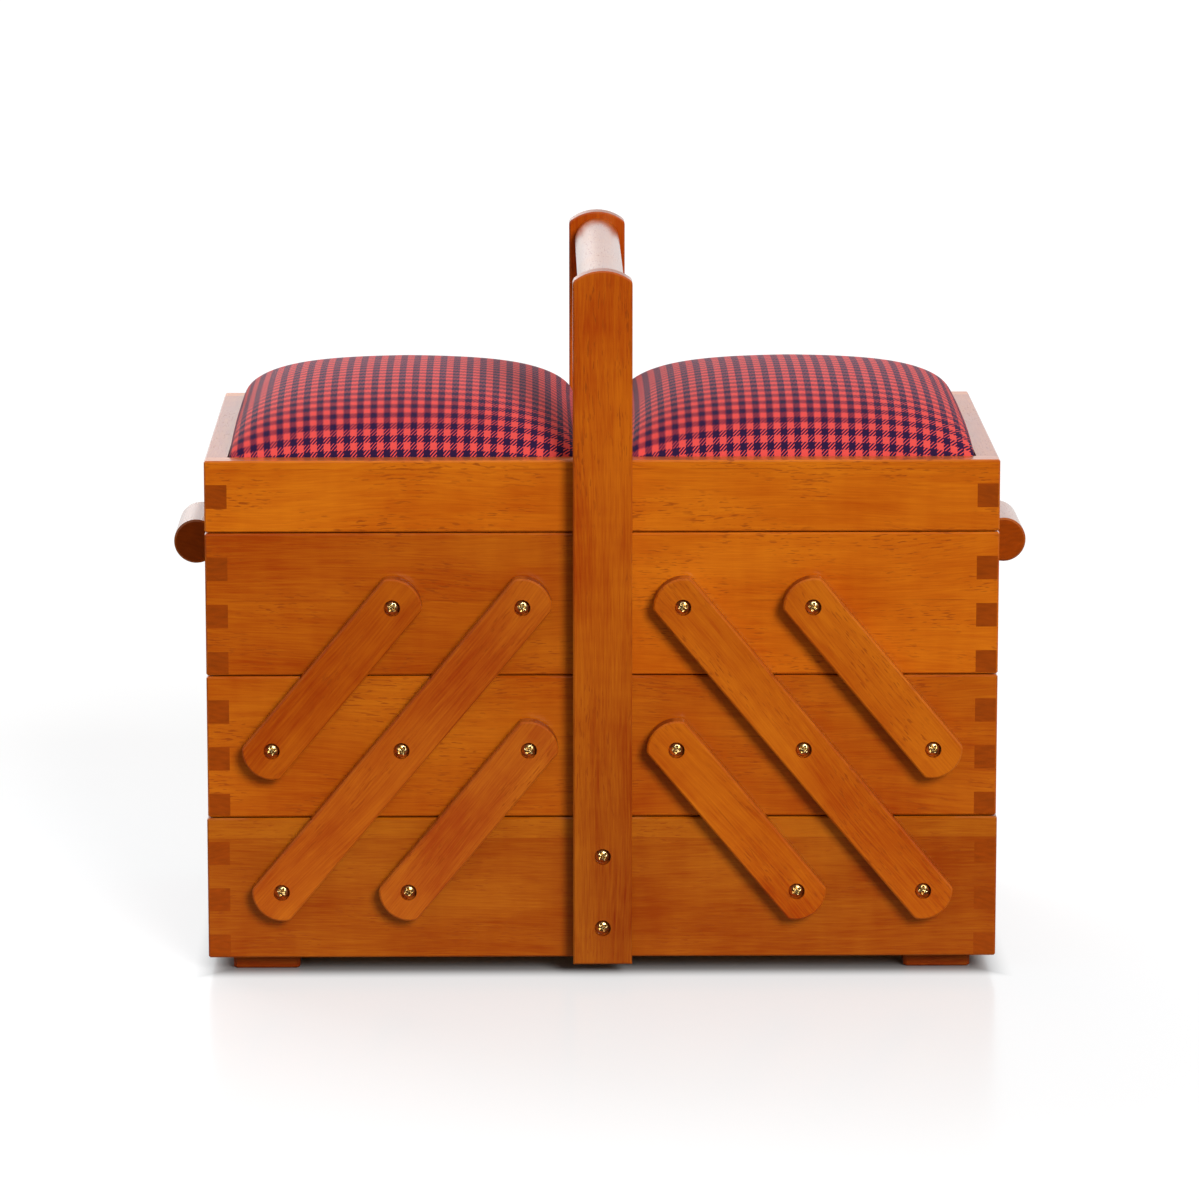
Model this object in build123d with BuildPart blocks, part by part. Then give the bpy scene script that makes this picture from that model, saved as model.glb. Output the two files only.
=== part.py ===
from build123d import *
import os
from math import hypot

# Wooden cantilever sewing carrier.  A wide base box stands on four feet.  Above it are two
# mirrored halves, each with a middle tray, a top tray and a padded lid.  Flat arms on the
# front and back join each half's tiers, so the trays swing outwards and stay level.
# Millimetres.  +X is right, the front faces -Y, +Z is up, and the origin is on the ground
# under the middle of the carrier.

# Box
box_width = 396.0  # over both halves
box_depth = 220.0  # trays and lids, front face to back face
tray_height = 72.0  # the base and every tray
lid_height = 36.0
half_gap = 1.0  # between the two halves
tier_gap = 0.6  # between one tier and the next
base_proud = 0.5  # the base stands out this far on every side
board = 11.2  # thickness of the solid boards
finger_pitch = 12.0  # height of one finger of the corner joints
edge_bevel = 0.8

# Panels held in grooves
bottom_ply = 3.0
bottom_rise = 6.0  # groove above the tray's lower edge
lid_ply = 4.0
lid_panel_rise = 20.0
groove_depth = 5.0
panel_clearance = 0.3

# Cushions
cushion_clearance = 0.3
cushion_shoulder = 13.0  # steep part of its edge, above the lid's frame
cushion_lean = 2.4  # how far the steep part leans in
cushion_crown = 34.0  # top of the cushion, above the lid's frame
cushion_turn_width = 29.0  # the edge turns over within this distance
cushion_turn_rise = 15.5  # and rises this far above its shoulder
cushion_turn_bulge = 0.07  # bow of the turn, as a share of its chord

# Feet
foot_size = 33.5
foot_inset = 12.0
foot_drop = 8.5  # height of the box above the ground
foot_bevel = 1.5

# Posts and the bar between them
post_width = 29.5
post_thickness = 12.0
post_height = 351.3
post_drop = 1.0  # below the box
post_crown = 5.4  # rise of the rounded top
post_shoulder_round = 3.0
post_screw_spacing = 36.8
handle_diameter = 23.4
handle_below_crown = 15.0  # centre of the bar
tenon_diameter = 14.0
tenon_length = 8.0
tenon_clearance = 0.1

# Arms
arm_width = 24.5
arm_thickness = 10.0
arm_end = 14.5  # beyond the last pivot
arm_end_radius = 15.5
arm_corner_round = 3.0
arm_gap = 0.3  # between an arm and the base's face
link_run = 60.5  # sideways lean of an arm over one tier
long_arm_top_x = 40.0  # top pivot of the long arm, from the middle of the carrier
upper_arm_spacing = 64.8  # from the long arm out to the upper short arm
lower_arm_spacing = 63.6  # from the long arm in to the lower short arm

# Round-head screws
screw_head_radius = 3.6
screw_head_height = 2.4
screw_crown_radius = 2.4  # flat on top of the head
screw_radius = 1.75
screw_point = 2.5
screw_bite = 8.0  # length in the wood that it is driven into
pilot_clearance = 0.05
pivot_clearance = 0.2  # around the shank and under the head, where an arm turns
counterbore_radius = 4.1
counterbore_depth = 3.8

# Pulls on the outer ends of the top trays: rods with one flat side
pull_radius = 11.3
pull_centre_out = 8.9  # centre of the rod outside the wall
pull_below_rim = 19.0
pull_length = 54.0
pull_bevel = 1.0
pull_screw_spacing = 30.0
pull_counterbore_depth = 2.4

# Butt hinges between the top trays and their lids
hinge_from_middle = 45.0
leaf_length = 22.0
leaf_width = 8.5
leaf_thickness = 0.9
leaf_clearance = 0.1
barrel_radius = 1.4
barrel_clearance = 0.25
knuckle_gap = 0.15
pin_radius = 0.6
pin_clearance = 0.1

# Sizes that follow from the ones above
base_width = box_width + 2 * base_proud
base_depth = box_depth + 2 * base_proud
half_width = (box_width - half_gap) / 2
half_centre = (half_gap + half_width) / 2
link_rise = tray_height + tier_gap
link_length = hypot(link_run, link_rise)
base_floor = foot_drop
middle_floor = base_floor + link_rise
top_floor = middle_floor + link_rise
lid_floor = top_floor + link_rise
pivot_height = tray_height / 2  # above each tier's lower edge
long_arm_base_x = long_arm_top_x + 2 * link_run
long_arm_middle_x = long_arm_top_x + link_run
upper_arm_foot_x = long_arm_middle_x + upper_arm_spacing
lower_arm_foot_x = long_arm_base_x - lower_arm_spacing
arm_face = base_depth / 2 + arm_gap + arm_thickness
post_face = base_depth / 2 + post_thickness
post_foot = base_floor - post_drop
handle_height = post_foot + post_height - handle_below_crown
pull_height = top_floor + tray_height - pull_below_rim
hinge_out = barrel_radius + barrel_clearance  # hinge axis outside the wall
hinge_axis_x = box_width / 2 + hinge_out
hinge_axis_z = lid_floor - tier_gap / 2
overshoot = 1.0  # how far a cutting shape runs past what it cuts

FRONT, BACK = -1, 1
LEFT, RIGHT = -1, 1
SIDE_NAMES = {LEFT: "left", RIGHT: "right"}


def save(piece, name):
    """Label a finished piece and write it to its own file."""
    piece.label = name
    export_step(piece, f"parts/{name}.step")


def upright_plane(origin, outward):
    """Plane of a vertical face, with its local X level and its local Y upwards."""
    normal = Vector(*outward)
    return Plane(origin=origin, x_dir=Vector(0, 0, 1).cross(normal), z_dir=normal)


def face_spots(face, half_depth, places):
    """Outward-facing planes at the given (x, z) places on a front or back face."""
    return [upright_plane((x, face * half_depth, z), (0, face, 0)) for x, z in places]


# ---------------------------------------------------------------- finger-jointed frames


def finger_cells(height):
    """Number of fingers in a corner, and the height of one."""
    count = max(2, round(height / finger_pitch))
    return count, height / count


def frame_ring(plane, width, depth, height, panel_rise, panel_thickness):
    """A frame before it is cut into boards: rounded outside, open, and grooved inside."""
    groove = 2 * (groove_depth - board)
    with BuildPart() as ring:
        with BuildSketch(plane):
            Rectangle(width, depth)
        extrude(amount=height)
        chamfer(ring.edges(), edge_bevel)
        with BuildSketch(plane):
            Rectangle(width - 2 * board, depth - 2 * board)
        extrude(amount=height, mode=Mode.SUBTRACT)
        with BuildSketch(plane.offset(panel_rise)):
            Rectangle(width + groove, depth + groove)
        extrude(amount=panel_thickness + panel_clearance, mode=Mode.SUBTRACT)
    return ring.part


def cut_board(ring, face_plane, length, height, first_notch):
    """One board of the ring: everything behind its face, less the fingers of its neighbours."""
    count, finger = finger_cells(height)
    notches = [
        (end * (length + overshoot - board) / 2, height - (cell + 0.5) * finger)
        for end in (-1, 1)
        for cell in range(first_notch, count, 2)
    ]
    with BuildPart() as piece:
        add(ring)
        with BuildSketch(face_plane.offset(overshoot)):
            with Locations((0, height / 2)):
                Rectangle(length + 2 * overshoot, height + 2 * overshoot)
            with Locations(*notches):
                Rectangle(board + overshoot, finger, mode=Mode.SUBTRACT)
        extrude(amount=-board - overshoot, mode=Mode.INTERSECT)
    return piece.part


def cut_frame(ring, plane, width, depth, height):
    """The ring's front, back, left and right boards.  The front and back hold the top finger."""
    x, _, z = plane.origin
    front = upright_plane((x, -depth / 2, z), (0, -1, 0))
    back = upright_plane((x, depth / 2, z), (0, 1, 0))
    left = upright_plane((x - width / 2, 0, z), (-1, 0, 0))
    right = upright_plane((x + width / 2, 0, z), (1, 0, 0))
    return (
        cut_board(ring, front, width, height, 1),
        cut_board(ring, back, width, height, 1),
        cut_board(ring, left, depth, height, 0),
        cut_board(ring, right, depth, height, 0),
    )


def save_frame(ring, plane, width, depth, height, prefix, kind, end_names):
    """Cut a ring into its boards and write them."""
    names = ("front", "back", *end_names)
    for piece, name in zip(cut_frame(ring, plane, width, depth, height), names):
        save(piece, f"{prefix}_{name}_{kind}")


def groove_panel(plane, width, depth, rise, thickness):
    """Plywood sheet that lies on the lower side of a frame's groove."""
    reach = 2 * (groove_depth - panel_clearance - board)
    with BuildPart() as sheet:
        with BuildSketch(plane.offset(rise)):
            Rectangle(width + reach, depth + reach)
        extrude(amount=thickness)
    return sheet.part


# ------------------------------------------------------------------------------- screws


def round_head_screw(length):
    """Screw on the Z axis: its raised head above the origin, its shank and point below."""
    with BuildPart() as screw:
        with BuildSketch(Plane.XZ):
            with BuildLine():
                Polyline(
                    (0, screw_head_height),
                    (screw_crown_radius, screw_head_height),
                    (screw_head_radius, 0),
                    (screw_radius, 0),
                    (screw_radius, screw_point - length),
                    (0, -length),
                    close=True,
                )
            make_face()
        revolve(axis=Axis.Z)
    return screw.part


def arm_screws(half_depth, places):
    """Screws through the arms at (x, z) places, front and back, into boards at half_depth."""
    seat = arm_face - counterbore_depth + pivot_clearance
    screw = round_head_screw(seat - half_depth + screw_bite)
    with BuildPart() as screws:
        for face in (FRONT, BACK):
            with Locations(*face_spots(face, seat, places)):
                add(screw)
    return screws.part


def pilot_planes(half_depth, places):
    """Where the screws at (x, z) places enter the front and back boards."""
    return [spot for face in (FRONT, BACK) for spot in face_spots(face, half_depth, places)]


# --------------------------------------------------------------------------------- base


def make_base():
    """Base frame, its bottom, feet, posts, handle bar and screws."""
    plane = Plane.XY.offset(base_floor)
    pivots = [
        (side * x, base_floor + pivot_height)
        for side in (LEFT, RIGHT)
        for x in (long_arm_base_x, lower_arm_foot_x)
    ]
    post_screws = [
        (0, base_floor + (tray_height + end * post_screw_spacing) / 2) for end in (-1, 1)
    ]
    ring = frame_ring(plane, base_width, base_depth, tray_height, bottom_rise, bottom_ply)
    with BuildPart() as drilled:
        add(ring)
        with Locations(*pilot_planes(base_depth / 2, pivots + post_screws)):
            Hole(screw_radius + pilot_clearance, screw_bite + pilot_clearance)
    size = (base_width, base_depth, tray_height)
    save_frame(drilled.part, plane, *size, "base", "board", ("left", "right"))
    save(groove_panel(plane, base_width, base_depth, bottom_rise, bottom_ply), "base_bottom")
    save(make_feet(), "feet")
    save(make_post(FRONT, post_screws), "front_post")
    save(make_post(BACK, post_screws), "rear_post")
    save(make_handle_bar(), "handle_bar")

    post_seat = post_face - counterbore_depth
    post_screw = round_head_screw(post_seat - base_depth / 2 + screw_bite)
    with BuildPart() as screws:
        add(arm_screws(base_depth / 2, pivots))
        for face in (FRONT, BACK):
            with Locations(*face_spots(face, post_seat, post_screws)):
                add(post_screw)
    save(screws.part, "base_screws")


def make_feet():
    """Four blocks under the bottom panel, standing out below the frame."""
    from_side = base_width / 2 - foot_inset - foot_size / 2
    from_front = base_depth / 2 - foot_inset - foot_size / 2
    with BuildPart() as feet:
        with BuildSketch():
            with GridLocations(2 * from_side, 2 * from_front, 2, 2):
                Rectangle(foot_size, foot_size)
        extrude(amount=base_floor + bottom_rise)
        chamfer(feet.edges().filter_by(Axis.Z), foot_bevel)
        chamfer(feet.faces().sort_by(Axis.Z)[:4].edges(), edge_bevel)
    return feet.part


def make_post(face, screw_places):
    """Flat upright on the base's front or back, with a rounded top and a socket for the bar."""
    plane = upright_plane((0, face * post_face, post_foot), (0, face, 0))
    shoulder = post_height - post_crown
    with BuildPart() as post:
        with BuildSketch(plane) as outline:
            with BuildLine():
                Polyline(
                    (post_width / 2, shoulder),
                    (post_width / 2, 0),
                    (-post_width / 2, 0),
                    (-post_width / 2, shoulder),
                )
                ThreePointArc(
                    (-post_width / 2, shoulder), (0, post_height), (post_width / 2, shoulder)
                )
            make_face()
            fillet(outline.vertices().group_by(Axis.Y)[-1], post_shoulder_round)
        extrude(amount=-post_thickness)
        chamfer(post.faces().filter_by(Axis.Y).edges(), edge_bevel)
        with Locations(*face_spots(face, post_face, screw_places)):
            CounterBoreHole(
                screw_radius + pilot_clearance, counterbore_radius, counterbore_depth
            )
        with Locations(upright_plane((0, face * base_depth / 2, handle_height), (0, -face, 0))):
            Hole(tenon_diameter / 2 + tenon_clearance, tenon_length + tenon_clearance)
    return post.part


def make_handle_bar():
    """Round bar between the posts, with a tenon in each."""
    with BuildPart() as bar:
        with BuildSketch(Plane.XZ):
            with Locations((0, handle_height)):
                Circle(handle_diameter / 2)
        extrude(amount=base_depth / 2, both=True)
        with BuildSketch(Plane.XZ):
            with Locations((0, handle_height)):
                Circle(tenon_diameter / 2)
        extrude(amount=base_depth / 2 + tenon_length, both=True)
    return bar.part


# ---------------------------------------------------------------------------- both halves


def end_names(side):
    """Which of a frame's left and right boards is the outer one on this side."""
    return ("outer", "inner") if side == LEFT else ("inner", "outer")


def make_middle_tray(side):
    """Middle tray: its frame, bottom and screws."""
    plane = Plane((side * half_centre, 0, middle_floor))
    places = [
        (side * x, middle_floor + pivot_height)
        for x in (long_arm_middle_x, upper_arm_foot_x, lower_arm_foot_x - link_run)
    ]
    ring = frame_ring(plane, half_width, box_depth, tray_height, bottom_rise, bottom_ply)
    with BuildPart() as drilled:
        add(ring)
        with Locations(*pilot_planes(box_depth / 2, places)):
            Hole(screw_radius + pilot_clearance, screw_bite + pilot_clearance)
    prefix = f"{SIDE_NAMES[side]}_middle"
    size = (half_width, box_depth, tray_height)
    save_frame(drilled.part, plane, *size, prefix, "board", end_names(side))
    save(groove_panel(plane, half_width, box_depth, bottom_rise, bottom_ply), f"{prefix}_bottom")
    save(arm_screws(box_depth / 2, places), f"{prefix}_screws")


def make_top_tray(side):
    """Top tray: its frame, bottom, pull, screws and the lower leaves of the lid's hinges."""
    plane = Plane((side * half_centre, 0, top_floor))
    places = [
        (side * x, top_floor + pivot_height)
        for x in (long_arm_top_x, upper_arm_foot_x - link_run)
    ]
    ring = frame_ring(plane, half_width, box_depth, tray_height, bottom_rise, bottom_ply)
    with BuildPart() as drilled:
        add(ring)
        with Locations(*pilot_planes(box_depth / 2, places)):
            Hole(screw_radius + pilot_clearance, screw_bite + pilot_clearance)
        with Locations(*pull_screw_planes(side, box_width / 2 - board)):
            CounterBoreHole(
                screw_radius + pilot_clearance,
                counterbore_radius,
                pull_counterbore_depth,
                board,
            )
        add(mortises(side, -1), mode=Mode.SUBTRACT)
    prefix = f"{SIDE_NAMES[side]}_top"
    size = (half_width, box_depth, tray_height)
    save_frame(drilled.part, plane, *size, prefix, "board", end_names(side))
    save(groove_panel(plane, half_width, box_depth, bottom_rise, bottom_ply), f"{prefix}_bottom")
    save(make_pull(side), f"{SIDE_NAMES[side]}_pull")

    pull_screw = round_head_screw(board - pull_counterbore_depth + screw_bite)
    with BuildPart() as screws:
        add(arm_screws(box_depth / 2, places))
        seat = box_width / 2 - board + pull_counterbore_depth
        with Locations(*pull_screw_planes(side, seat)):
            add(pull_screw)
    save(screws.part, f"{prefix}_screws")
    save(hinge_halves(side, -1), f"{SIDE_NAMES[side]}_lower_hinges")


def pull_screw_planes(side, distance):
    """Places of a pull's screws at a distance from the middle, facing into the tray."""
    return [
        upright_plane((side * distance, y, pull_height), (-side, 0, 0))
        for y in (-pull_screw_spacing / 2, pull_screw_spacing / 2)
    ]


def make_pull(side):
    """Rod along the tray's outer wall, flat where it meets the wall."""
    wall = side * box_width / 2
    section = Plane(
        origin=(wall, 0, pull_height), x_dir=(side, 0, 0), z_dir=(0, -side, 0)
    )
    with BuildPart() as pull:
        with BuildSketch(section):
            with Locations((pull_centre_out, 0)):
                Circle(pull_radius)
            Rectangle(
                2 * pull_radius,
                2 * pull_radius,
                align=(Align.MAX, Align.CENTER),
                mode=Mode.SUBTRACT,
            )
        extrude(amount=pull_length / 2, both=True)
        chamfer(pull.edges().filter_by(GeomType.CIRCLE), pull_bevel)
        with Locations(*pull_screw_planes(side, box_width / 2)):
            Hole(screw_radius + pilot_clearance, screw_bite + pilot_clearance)
    return pull.part


# -------------------------------------------------------------------------------- hinges


def hinge_plane(side):
    """Plane along the lid's hinge axis: local X into the box, local Y along the axis."""
    return Plane(
        origin=(side * hinge_axis_x, 0, hinge_axis_z), x_dir=(-side, 0, 0), z_dir=(0, 0, 1)
    )


def mortises(side, level):
    """Recesses for the leaves, in the tray's rim (level -1) or the lid's edge (level 1)."""
    edge = hinge_plane(side).offset(level * tier_gap / 2)
    with BuildPart() as recess:
        with BuildSketch(edge):
            with GridLocations(0, 2 * hinge_from_middle, 1, 2):
                Rectangle(
                    hinge_out + leaf_width + leaf_clearance,
                    leaf_length + 2 * leaf_clearance,
                    align=(Align.MIN, Align.CENTER),
                )
        extrude(amount=level * leaf_thickness)
    return recess.part


def hinge_halves(side, level):
    """The tray's hinge leaves, with two knuckles and a pin each, or the lid's, with one."""
    axis_plane = hinge_plane(side)
    edge = axis_plane.offset(level * tier_gap / 2)
    knuckle = (leaf_length - 2 * knuckle_gap) / 3
    own = [0.0] if level > 0 else [-knuckle - knuckle_gap, knuckle + knuckle_gap]
    centres = [end * hinge_from_middle + y for end in (-1, 1) for y in own]
    across = Plane(
        origin=(side * hinge_axis_x, 0, hinge_axis_z), x_dir=(-side, 0, 0), z_dir=(0, side, 0)
    )
    with BuildPart() as leaves:
        with BuildSketch(edge):
            with GridLocations(0, 2 * hinge_from_middle, 1, 2):
                with Locations((hinge_out, 0)):
                    Rectangle(leaf_width, leaf_length, align=(Align.MIN, Align.CENTER))
            with Locations(*[(0, y) for y in centres]):
                Rectangle(
                    hinge_out + leaf_clearance, knuckle, align=(Align.MIN, Align.CENTER)
                )
        extrude(amount=level * leaf_thickness)
        for y in centres:
            with BuildSketch(across.offset(y)):
                Circle(barrel_radius)
            extrude(amount=knuckle / 2, both=True)
        for y in (-hinge_from_middle, hinge_from_middle):
            with BuildSketch(across.offset(y)):
                Circle(pin_radius if level < 0 else pin_radius + pin_clearance)
            extrude(
                amount=leaf_length / 2,
                both=True,
                mode=Mode.ADD if level < 0 else Mode.SUBTRACT,
            )
    return leaves.part


# ---------------------------------------------------------------------------------- lids


def make_lid(side):
    """Lid: its frame, panel, cushion and the upper leaves of its hinges."""
    plane = Plane((side * half_centre, 0, lid_floor))
    ring = frame_ring(plane, half_width, box_depth, lid_height, lid_panel_rise, lid_ply)
    with BuildPart() as mortised:
        add(ring)
        add(mortises(side, 1), mode=Mode.SUBTRACT)
    name = SIDE_NAMES[side]
    size = (half_width, box_depth, lid_height)
    save_frame(mortised.part, plane, *size, f"{name}_lid", "rail", end_names(side))
    save(groove_panel(plane, half_width, box_depth, lid_panel_rise, lid_ply), f"{name}_lid_panel")
    save(make_cushion(side), f"{name}_cushion")
    save(hinge_halves(side, 1), f"{name}_upper_hinges")


def cushion_outline(half):
    """Closed outline of a cushion's section: steep edges, turned over under a low crown."""
    seat = lid_panel_rise + lid_ply + cushion_clearance
    shoulder = lid_height + cushion_shoulder
    turned = Vector(half - cushion_turn_width, shoulder + cushion_turn_rise)
    edge = Vector(half - cushion_lean, shoulder)
    chord = turned - edge
    bowed = (turned + edge) / 2 + Vector(-chord.Y, chord.X) * -cushion_turn_bulge
    with BuildLine() as outline:
        Polyline(
            (-edge.X, shoulder), (-half, lid_height), (-half, seat), (half, seat), (half, lid_height), edge
        )
        ThreePointArc(edge, bowed, turned)
        ThreePointArc(turned, (0, lid_height + cushion_crown), (-turned.X, turned.Y))
        ThreePointArc((-turned.X, turned.Y), (-bowed.X, bowed.Y), (-edge.X, shoulder))
    return outline.line


def make_cushion(side):
    """Padding that fills the lid's frame and swells above it, crowned both ways."""
    centre = (side * half_centre, 0, lid_floor)
    half_x = half_width / 2 - board - cushion_clearance
    half_y = box_depth / 2 - board - cushion_clearance
    with BuildPart() as cushion:
        with BuildSketch(upright_plane(centre, (0, -1, 0))):
            add(cushion_outline(half_x))
            make_face()
        extrude(amount=half_y, both=True)
        with BuildSketch(upright_plane(centre, (1, 0, 0))):
            add(cushion_outline(half_y))
            make_face()
        extrude(amount=half_x, both=True, mode=Mode.INTERSECT)
    return cushion.part


# ---------------------------------------------------------------------------------- arms


def arm_plane(side, face, foot_x, foot_z):
    """Outer face of an arm, with its first pivot at the origin and local Y along the arm."""
    along = Vector(-side * link_run, 0, link_rise)
    normal = Vector(0, face, 0)
    return Plane(
        origin=(side * foot_x, face * arm_face, foot_z), x_dir=along.cross(normal), z_dir=normal
    )


def make_arms(side, foot_x, foot_floor, links):
    """Front and back arm over one or two tiers, counterbored at every pivot."""
    length = links * link_length
    half = arm_width / 2
    end_rise = arm_end_radius - (arm_end_radius**2 - half**2) ** 0.5
    shoulder = arm_end - end_rise
    planes = [arm_plane(side, face, foot_x, foot_floor + pivot_height) for face in (FRONT, BACK)]
    with BuildPart() as arms:
        for plane in planes:
            with BuildSketch(plane) as outline:
                with BuildLine():
                    Line((half, -shoulder), (half, length + shoulder))
                    ThreePointArc(
                        (half, length + shoulder), (0, length + arm_end), (-half, length + shoulder)
                    )
                    Line((-half, length + shoulder), (-half, -shoulder))
                    ThreePointArc((-half, -shoulder), (0, -arm_end), (half, -shoulder))
                make_face()
                fillet(outline.vertices(), arm_corner_round)
            extrude(amount=-arm_thickness)
        chamfer(arms.faces().filter_by(Axis.Y).edges(), edge_bevel)
        for plane in planes:
            with Locations(plane):
                with Locations(*[(0, i * link_length) for i in range(links + 1)]):
                    CounterBoreHole(
                        screw_radius + pivot_clearance,
                        counterbore_radius,
                        counterbore_depth,
                        arm_thickness,
                    )
    return arms.part


os.makedirs("parts", exist_ok=True)
make_base()
for side in (LEFT, RIGHT):
    make_middle_tray(side)
    make_top_tray(side)
    make_lid(side)
    name = SIDE_NAMES[side]
    save(make_arms(side, long_arm_base_x, base_floor, 2), f"{name}_long_arms")
    save(make_arms(side, lower_arm_foot_x, base_floor, 1), f"{name}_lower_arms")
    save(make_arms(side, upper_arm_foot_x, middle_floor, 1), f"{name}_upper_arms")
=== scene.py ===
import math

import bpy
import numpy as np
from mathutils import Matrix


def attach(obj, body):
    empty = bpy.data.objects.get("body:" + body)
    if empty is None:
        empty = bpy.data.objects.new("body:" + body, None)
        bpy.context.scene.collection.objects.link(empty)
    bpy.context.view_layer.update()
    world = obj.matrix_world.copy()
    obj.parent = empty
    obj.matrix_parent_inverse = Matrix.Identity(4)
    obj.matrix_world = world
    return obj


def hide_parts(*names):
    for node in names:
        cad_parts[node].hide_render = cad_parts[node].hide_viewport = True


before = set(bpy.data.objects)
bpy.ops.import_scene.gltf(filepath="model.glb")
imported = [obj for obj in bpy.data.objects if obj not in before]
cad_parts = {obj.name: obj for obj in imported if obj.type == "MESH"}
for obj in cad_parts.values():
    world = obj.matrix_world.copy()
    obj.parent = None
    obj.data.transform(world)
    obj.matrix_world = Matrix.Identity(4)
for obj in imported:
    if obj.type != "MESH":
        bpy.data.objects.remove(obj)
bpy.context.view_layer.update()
scene = bpy.context.scene

MM = 0.001

# Sizes shared with the carrier's boards, in metres. Places across it are measured from its middle.
tier_rise = 72.6 * MM  # height of a short arm's upper pivot above its lower one
link_run = 60.5 * MM  # and how much nearer to the middle it is
lean = math.atan2(tier_rise, link_run)
pivot_heights = [44.5 * MM + tier * tier_rise for tier in range(3)]  # base, middle and top trays
long_pivot = 161.0 * MM  # how far out the lowest pivot of each kind of arm is
lower_pivot = 97.4 * MM
upper_pivot = 165.3 * MM
pivot_seat = 117.2 * MM  # under the screws' heads
post_seat = 118.7 * MM
base_face = 110.5 * MM
tray_face = 110.0 * MM
frame_top = 262.3 * MM
frame_inside_x = 87.55 * MM  # half of the lid's opening
frame_inside_y = 98.8 * MM
half_centre = 99.25 * MM  # middle of each lid
cushion_seat = 250.6 * MM
post_top = 330.0 * MM
pull_seat = 189.2 * MM
pull_height = 206.7 * MM
leaf_middle = 193.75 * MM
tray_leaf = 225.7 * MM  # upper face of a hinge's leaf on the tray
lid_leaf = 226.3 * MM  # lower face of its leaf under the lid


def paint(red, green, blue):
    """Linear colour of a tone mixed as 0-255 values."""
    channels = np.array([red, green, blue]) / 255
    linear = np.where(channels < 0.04045, channels / 12.92, ((channels + 0.055) / 1.055) ** 2.4)
    return (*(float(c) for c in linear), 1.0)


# --------------------------------------------------------------------------- node helpers


class Shop:
    """Places shader nodes in one tree and wires them together."""

    def __init__(self, tree):
        self.tree = tree

    def node(self, kind, inputs=None, **settings):
        """A node of a kind, with values or sockets for its inputs and its other settings."""
        made = self.tree.nodes.new(kind)
        for name, value in settings.items():
            setattr(made, name, value)
        for name, value in (inputs or {}).items():
            self.feed(made.inputs[name], value)
        return made

    def feed(self, socket, value):
        if isinstance(value, bpy.types.NodeSocket):
            self.tree.links.new(value, socket)
        else:
            socket.default_value = value

    def math(self, operation, *values):
        made = self.tree.nodes.new("ShaderNodeMath")
        made.operation = operation
        for socket, value in zip(made.inputs, values):
            self.feed(socket, value)
        return made.outputs[0]

    def mix(self, factor, a, b, blend="MIX"):
        made = self.tree.nodes.new("ShaderNodeMix")
        made.data_type = "RGBA"
        made.blend_type = blend
        self.feed(made.inputs[0], factor)
        self.feed(made.inputs[6], a)
        self.feed(made.inputs[7], b)
        return made.outputs[2]

    def noise(self, vector, scale, detail, roughness=0.5):
        made = self.node(
            "ShaderNodeTexNoise",
            {"Vector": vector, "Scale": scale, "Detail": detail, "Roughness": roughness},
        )
        return made.outputs[0]

    def stretch(self, vector, x, y, z):
        return self.node("ShaderNodeMapping", {"Vector": vector, "Scale": (x, y, z)}).outputs[0]

    def step(self, value, low, high):
        """0 at the low value and 1 at the high one, with a soft ease between them."""
        made = self.node(
            "ShaderNodeMapRange",
            {"Value": value, "From Min": low, "From Max": high},
            interpolation_type="SMOOTHSTEP",
        )
        return made.outputs[0]

    def sway(self, middle, noise, share):
        """The middle value, moved up and down by a share of the noise."""
        return self.math("MULTIPLY_ADD", self.math("SUBTRACT", noise, 0.5), share, middle)

    def either(self, factor, a, b):
        """a where the factor is 0 and b where it is 1."""
        return self.node("ShaderNodeMix", {0: factor, 2: a, 3: b}).outputs[0]

    def grey(self, value):
        channels = {channel: value for channel in ("Red", "Green", "Blue")}
        return self.node("ShaderNodeCombineColor", channels).outputs[0]

    def join(self, **parts):
        return self.node("ShaderNodeCombineXYZ", parts).outputs[0]

    def split(self, vector):
        return self.node("ShaderNodeSeparateXYZ", {"Vector": vector}).outputs

    def coordinate(self, kind):
        return self.node("ShaderNodeTexCoord").outputs[kind]


def shared_group(name, inputs, outputs):
    """An empty node group with named sockets, and the Shop that fills it."""
    group = bpy.data.node_groups.new(name, "ShaderNodeTree")
    for label, kind, value in inputs:
        socket = group.interface.new_socket(label, in_out="INPUT", socket_type=kind)
        if value is not None:
            socket.default_value = value
    for label, kind in outputs:
        group.interface.new_socket(label, in_out="OUTPUT", socket_type=kind)
    shop = Shop(group)
    return group, shop, shop.node("NodeGroupInput").outputs, shop.node("NodeGroupOutput").inputs


COLOUR, VALUE, VECTOR = "NodeSocketColor", "NodeSocketFloat", "NodeSocketVector"


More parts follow.
